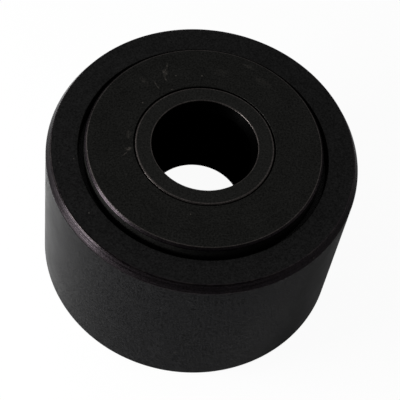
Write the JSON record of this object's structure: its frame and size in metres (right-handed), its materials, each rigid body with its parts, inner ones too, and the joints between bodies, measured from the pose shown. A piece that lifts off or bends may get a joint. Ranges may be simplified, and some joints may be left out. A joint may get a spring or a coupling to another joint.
{
  "type": "yoke cam follower",
  "caption": "Black steel yoke-type cam follower: a thick outer ring that turns on needle rollers round a plain-bored inner ring, held by a flat end plate on each side.",
  "frame": {"origin": "on the bore axis at mid width", "axes": "+Z along the bore axis; the two ends are alike, so +Z points out of either end"},
  "size_m": [0.0254, 0.0254, 0.0174],
  "materials": {
    "ring_steel": "black oxide, finely ground",
    "plate_steel": "black oxide, matt",
    "inner_ring_steel": "black oxide end faces, ground raceway",
    "roller_steel": "ground and polished",
    "washer_polymer": "moulded acetal, natural",
    "seal_rubber": "moulded nitrile, matt"
  },
  "bodies": {
    "hub": {"inner_ring": "inner_ring_steel", "end_plate_upper": "plate_steel", "end_plate_lower": "plate_steel"},
    "outer_ring": {"outer_ring": "ring_steel", "seal_upper": "seal_rubber", "seal_lower": "seal_rubber"},
    "roller_track": {"thrust_washer_upper": "washer_polymer", "thrust_washer_lower": "washer_polymer"},
    "needle_roller_01": {"needle_roller_01": "roller_steel"},
    "needle_roller_02": {"needle_roller_02": "roller_steel"},
    "needle_roller_03": {"needle_roller_03": "roller_steel"},
    "needle_roller_04": {"needle_roller_04": "roller_steel"},
    "needle_roller_05": {"needle_roller_05": "roller_steel"},
    "needle_roller_06": {"needle_roller_06": "roller_steel"},
    "needle_roller_07": {"needle_roller_07": "roller_steel"},
    "needle_roller_08": {"needle_roller_08": "roller_steel"},
    "needle_roller_09": {"needle_roller_09": "roller_steel"},
    "needle_roller_10": {"needle_roller_10": "roller_steel"},
    "needle_roller_11": {"needle_roller_11": "roller_steel"},
    "needle_roller_12": {"needle_roller_12": "roller_steel"},
    "needle_roller_13": {"needle_roller_13": "roller_steel"},
    "needle_roller_14": {"needle_roller_14": "roller_steel"},
    "needle_roller_15": {"needle_roller_15": "roller_steel"},
    "needle_roller_16": {"needle_roller_16": "roller_steel"},
    "needle_roller_17": {"needle_roller_17": "roller_steel"},
    "needle_roller_18": {"needle_roller_18": "roller_steel"},
    "needle_roller_19": {"needle_roller_19": "roller_steel"},
    "needle_roller_20": {"needle_roller_20": "roller_steel"},
    "needle_roller_21": {"needle_roller_21": "roller_steel"}
  },
  "joints": [
    {"name": "outer_ring_spin", "type": "hinge", "parent": "hub", "child": "outer_ring", "pos_m": [0, 0, 0], "axis": [0, 0, 1], "continuous": true},
    {"name": "roller_track_spin", "type": "hinge", "parent": "hub", "child": "roller_track", "pos_m": [0, 0, 0], "axis": [0, 0, 1], "continuous": true},
    {"name": "roller_spin_01", "type": "hinge", "parent": "roller_track", "child": "needle_roller_01", "pos_m": [0.00702, 0, 0], "axis": [0, 0, 1], "continuous": true},
    {"name": "roller_spin_02", "type": "hinge", "parent": "roller_track", "child": "needle_roller_02", "pos_m": [0.0067, 0.00207, 0], "axis": [0, 0, 1], "continuous": true},
    {"name": "roller_spin_03", "type": "hinge", "parent": "roller_track", "child": "needle_roller_03", "pos_m": [0.0058, 0.00395, 0], "axis": [0, 0, 1], "continuous": true},
    {"name": "roller_spin_04", "type": "hinge", "parent": "roller_track", "child": "needle_roller_04", "pos_m": [0.00437, 0.00548, 0], "axis": [0, 0, 1], "continuous": true},
    {"name": "roller_spin_05", "type": "hinge", "parent": "roller_track", "child": "needle_roller_05", "pos_m": [0.00256, 0.00653, 0], "axis": [0, 0, 1], "continuous": true},
    {"name": "roller_spin_06", "type": "hinge", "parent": "roller_track", "child": "needle_roller_06", "pos_m": [0.00052, 0.007, 0], "axis": [0, 0, 1], "continuous": true},
    {"name": "roller_spin_07", "type": "hinge", "parent": "roller_track", "child": "needle_roller_07", "pos_m": [-0.00156, 0.00684, 0], "axis": [0, 0, 1], "continuous": true},
    {"name": "roller_spin_08", "type": "hinge", "parent": "roller_track", "child": "needle_roller_08", "pos_m": [-0.00351, 0.00608, 0], "axis": [0, 0, 1], "continuous": true},
    {"name": "roller_spin_09", "type": "hinge", "parent": "roller_track", "child": "needle_roller_09", "pos_m": [-0.00514, 0.00477, 0], "axis": [0, 0, 1], "continuous": true},
    {"name": "roller_spin_10", "type": "hinge", "parent": "roller_track", "child": "needle_roller_10", "pos_m": [-0.00632, 0.00304, 0], "axis": [0, 0, 1], "continuous": true},
    {"name": "roller_spin_11", "type": "hinge", "parent": "roller_track", "child": "needle_roller_11", "pos_m": [-0.00694, 0.00105, 0], "axis": [0, 0, 1], "continuous": true},
    {"name": "roller_spin_12", "type": "hinge", "parent": "roller_track", "child": "needle_roller_12", "pos_m": [-0.00694, -0.00105, 0], "axis": [0, 0, 1], "continuous": true},
    {"name": "roller_spin_13", "type": "hinge", "parent": "roller_track", "child": "needle_roller_13", "pos_m": [-0.00632, -0.00304, 0], "axis": [0, 0, 1], "continuous": true},
    {"name": "roller_spin_14", "type": "hinge", "parent": "roller_track", "child": "needle_roller_14", "pos_m": [-0.00514, -0.00477, 0], "axis": [0, 0, 1], "continuous": true},
    {"name": "roller_spin_15", "type": "hinge", "parent": "roller_track", "child": "needle_roller_15", "pos_m": [-0.00351, -0.00608, 0], "axis": [0, 0, 1], "continuous": true},
    {"name": "roller_spin_16", "type": "hinge", "parent": "roller_track", "child": "needle_roller_16", "pos_m": [-0.00156, -0.00684, 0], "axis": [0, 0, 1], "continuous": true},
    {"name": "roller_spin_17", "type": "hinge", "parent": "roller_track", "child": "needle_roller_17", "pos_m": [0.00052, -0.007, 0], "axis": [0, 0, 1], "continuous": true},
    {"name": "roller_spin_18", "type": "hinge", "parent": "roller_track", "child": "needle_roller_18", "pos_m": [0.00256, -0.00653, 0], "axis": [0, 0, 1], "continuous": true},
    {"name": "roller_spin_19", "type": "hinge", "parent": "roller_track", "child": "needle_roller_19", "pos_m": [0.00437, -0.00548, 0], "axis": [0, 0, 1], "continuous": true},
    {"name": "roller_spin_20", "type": "hinge", "parent": "roller_track", "child": "needle_roller_20", "pos_m": [0.0058, -0.00395, 0], "axis": [0, 0, 1], "continuous": true},
    {"name": "roller_spin_21", "type": "hinge", "parent": "roller_track", "child": "needle_roller_21", "pos_m": [0.0067, -0.00207, 0], "axis": [0, 0, 1], "continuous": true}
  ],
  "couplings": [
    {"joint": "roller_track_spin", "follows": "outer_ring_spin", "ratio": 0.57234},
    {"joint": "roller_spin_01", "follows": "outer_ring_spin", "ratio": 3.4341},
    {"joint": "roller_spin_02", "follows": "outer_ring_spin", "ratio": 3.4341},
    {"joint": "roller_spin_03", "follows": "outer_ring_spin", "ratio": 3.4341},
    {"joint": "roller_spin_04", "follows": "outer_ring_spin", "ratio": 3.4341},
    {"joint": "roller_spin_05", "follows": "outer_ring_spin", "ratio": 3.4341},
    {"joint": "roller_spin_06", "follows": "outer_ring_spin", "ratio": 3.4341},
    {"joint": "roller_spin_07", "follows": "outer_ring_spin", "ratio": 3.4341},
    {"joint": "roller_spin_08", "follows": "outer_ring_spin", "ratio": 3.4341},
    {"joint": "roller_spin_09", "follows": "outer_ring_spin", "ratio": 3.4341},
    {"joint": "roller_spin_10", "follows": "outer_ring_spin", "ratio": 3.4341},
    {"joint": "roller_spin_11", "follows": "outer_ring_spin", "ratio": 3.4341},
    {"joint": "roller_spin_12", "follows": "outer_ring_spin", "ratio": 3.4341},
    {"joint": "roller_spin_13", "follows": "outer_ring_spin", "ratio": 3.4341},
    {"joint": "roller_spin_14", "follows": "outer_ring_spin", "ratio": 3.4341},
    {"joint": "roller_spin_15", "follows": "outer_ring_spin", "ratio": 3.4341},
    {"joint": "roller_spin_16", "follows": "outer_ring_spin", "ratio": 3.4341},
    {"joint": "roller_spin_17", "follows": "outer_ring_spin", "ratio": 3.4341},
    {"joint": "roller_spin_18", "follows": "outer_ring_spin", "ratio": 3.4341},
    {"joint": "roller_spin_19", "follows": "outer_ring_spin", "ratio": 3.4341},
    {"joint": "roller_spin_20", "follows": "outer_ring_spin", "ratio": 3.4341},
    {"joint": "roller_spin_21", "follows": "outer_ring_spin", "ratio": 3.4341}
  ]
}
